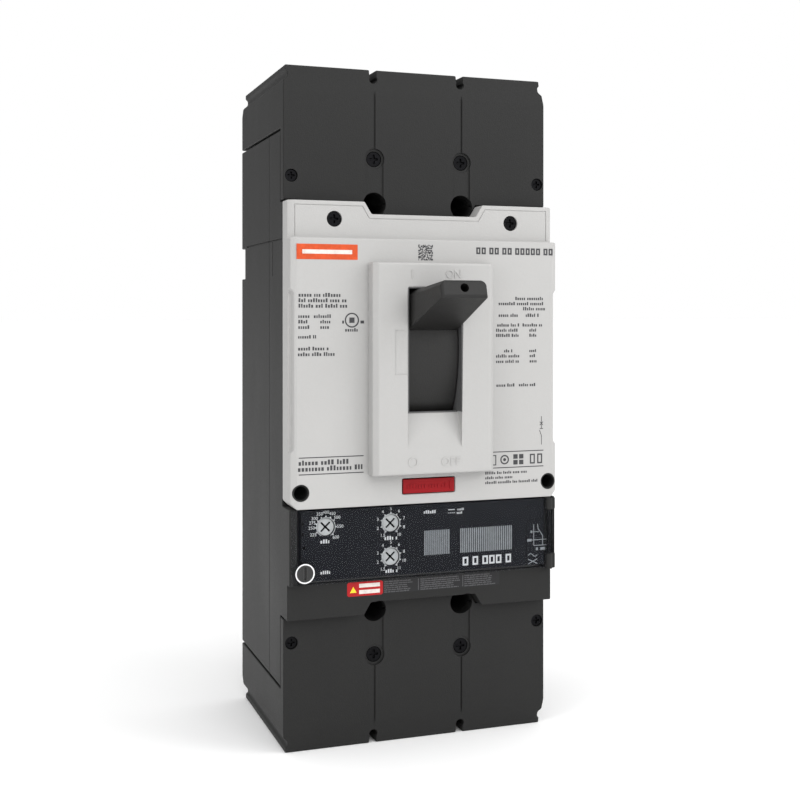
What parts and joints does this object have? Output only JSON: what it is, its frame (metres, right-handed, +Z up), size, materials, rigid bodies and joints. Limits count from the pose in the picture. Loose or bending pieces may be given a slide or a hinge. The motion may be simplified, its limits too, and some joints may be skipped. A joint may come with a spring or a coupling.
{
  "type": "molded case circuit breaker",
  "caption": "Molded case circuit breaker with terminal covers, toggle handle, trip button, setting dials under a clear hinged window, and internal contacts and linkage.",
  "frame": {"origin": "centre of the flat rear mounting face", "axes": "+Z up along the height, +Y towards the mounting panel, +X to the right seen from the front"},
  "size_m": [0.14, 0.1584, 0.337],
  "materials": {
    "case_plastic": "fine-textured dark grey moulded thermoset",
    "cover_plastic": "fine-textured light grey moulded plastic",
    "screw_black": "black oxide screws",
    "steel": "zinc plated steel",
    "tin_plate": "tin plated aluminium lug",
    "copper": "bare copper",
    "silver": "silver contact tip",
    "crossbar_plastic": "brown phenolic",
    "arc_steel": "nickel plated steel plates in fibre sides",
    "handle_plastic": "dark moulded nylon",
    "trip_bar_plastic": "moulded nylon",
    "trip_plastic": "black moulded plastic",
    "panel_navy": "dark blue-grey printed panel",
    "board_green": "solder mask",
    "dial_grey": "light grey moulded dial",
    "sensor_blue": "potted coil housing",
    "button_red": "red moulded button",
    "window_clear": "clear polycarbonate",
    "window_screw_black": "black slotted screw"
  },
  "bodies": {
    "case": {"base_housing": "case_plastic", "mid_cover": "case_plastic", "front_cover": "cover_plastic", "handle_escutcheon": "cover_plastic", "slot_liner": "case_plastic", "top_terminal_cover": "case_plastic", "bottom_terminal_cover": "case_plastic", "front_cover_screws": "screw_black", "case_screws": "steel", "terminal_cover_screws": "screw_black", "terminal_cover_pole_screws": "screw_black", "line_lug_left": "tin_plate", "line_lug_centre": "tin_plate", "line_lug_right": "tin_plate", "load_lug_left": "tin_plate", "load_lug_centre": "tin_plate", "load_lug_right": "tin_plate", "lug_clamp_screws": "steel", "line_terminal_left": "copper", "line_terminal_centre": "copper", "line_terminal_right": "copper", "load_terminal_left": "copper", "load_terminal_centre": "copper", "load_terminal_right": "copper", "fixed_contacts": "silver", "arc_chute_left": "arc_steel", "arc_chute_centre": "arc_steel", "arc_chute_right": "arc_steel", "mechanism_frame": "steel", "cradle": "steel", "trip_solenoid": "steel", "trip_unit_case": "trip_plastic", "trip_circuit_board": "board_green", "trip_panel": "panel_navy", "current_sensor_left": "sensor_blue", "current_sensor_centre": "sensor_blue", "current_sensor_right": "sensor_blue", "trip_button_spring": "steel", "window_hinge_pin": "steel"},
    "handle": {"handle": "handle_plastic", "handle_yoke": "steel", "main_springs": "steel"},
    "crossbar": {"crossbar": "crossbar_plastic", "contact_arm_left": "copper", "contact_arm_centre": "copper", "contact_arm_right": "copper", "moving_contacts": "silver"},
    "upper_links": {"upper_links": "steel", "toggle_pin": "steel"},
    "lower_links": {"lower_links": "steel"},
    "latch": {"latch": "steel"},
    "trip_bar": {"trip_bar": "trip_bar_plastic"},
    "trip_button": {"trip_button": "button_red"},
    "current_dial": {"current_dial": "dial_grey"},
    "short_time_dial": {"short_time_dial": "dial_grey"},
    "instant_dial": {"instant_dial": "dial_grey"},
    "window": {"trip_window": "window_clear"},
    "window_screw": {"window_screw": "window_screw_black"}
  },
  "joints": [
    {"name": "handle_swing", "type": "hinge", "parent": "case", "child": "handle", "pos_m": [0, -0.055, 0.0287], "axis": [1, 0, 0], "range_deg": [0, 36], "deforming": ["main_springs"]},
    {"name": "crossbar_turn", "type": "hinge", "parent": "case", "child": "crossbar", "pos_m": [0, -0.042, 0.008], "axis": [1, 0, 0], "range_deg": [0, 28.1]},
    {"name": "upper_link_swing", "type": "hinge", "parent": "case", "child": "upper_links", "pos_m": [0, -0.08, 0.03], "axis": [1, 0, 0], "range_deg": [-16.7, 0]},
    {"name": "lower_link_swing", "type": "hinge", "parent": "upper_links", "child": "lower_links", "pos_m": [0, -0.05947, 0.01963], "axis": [1, 0, 0], "range_deg": [0, 19.9]},
    {"name": "trip_button_press", "type": "slide", "parent": "case", "child": "trip_button", "axis": [0, 1, 0], "range_m": [0, 0.0025], "stiffness_N_per_m": 400, "springref_m": -0.0006, "deforming": ["trip_button_spring"]},
    {"name": "trip_bar_turn", "type": "hinge", "parent": "case", "child": "trip_bar", "pos_m": [0, -0.07, -0.0325], "axis": [1, 0, 0], "range_deg": [0, 16]},
    {"name": "latch_turn", "type": "hinge", "parent": "case", "child": "latch", "pos_m": [0, -0.064, -0.022], "axis": [1, 0, 0], "range_deg": [0, 6]},
    {"name": "window_open", "type": "hinge", "parent": "case", "child": "window", "pos_m": [0.0664, -0.1089, -0.065], "axis": [0, 0, 1], "range_deg": [0, 110]},
    {"name": "window_screw_turn", "type": "hinge", "parent": "window", "child": "window_screw", "pos_m": [-0.0631, -0.11, -0.0774], "axis": [0, 1, 0], "range_deg": [0, 90]},
    {"name": "current_dial_turn", "type": "hinge", "parent": "case", "child": "current_dial", "pos_m": [-0.0519, -0.106, -0.0563], "axis": [0, 1, 0], "range_deg": [-135, 135]},
    {"name": "short_time_dial_turn", "type": "hinge", "parent": "case", "child": "short_time_dial", "pos_m": [-0.0188, -0.106, -0.0563], "axis": [0, 1, 0], "range_deg": [-135, 135]},
    {"name": "instant_dial_turn", "type": "hinge", "parent": "case", "child": "instant_dial", "pos_m": [-0.0188, -0.106, -0.0728], "axis": [0, 1, 0], "range_deg": [-135, 135]}
  ],
  "couplings": [
    {"joint": "crossbar_turn", "follows": "handle_swing", "ratio": 0.77778},
    {"joint": "upper_link_swing", "follows": "handle_swing", "ratio": -0.4625},
    {"joint": "lower_link_swing", "follows": "handle_swing", "ratio": 0.54944},
    {"joint": "trip_bar_turn", "follows": "trip_button_press", "rad_per_m": 111},
    {"joint": "latch_turn", "follows": "trip_button_press", "rad_per_m": 41.19}
  ]
}
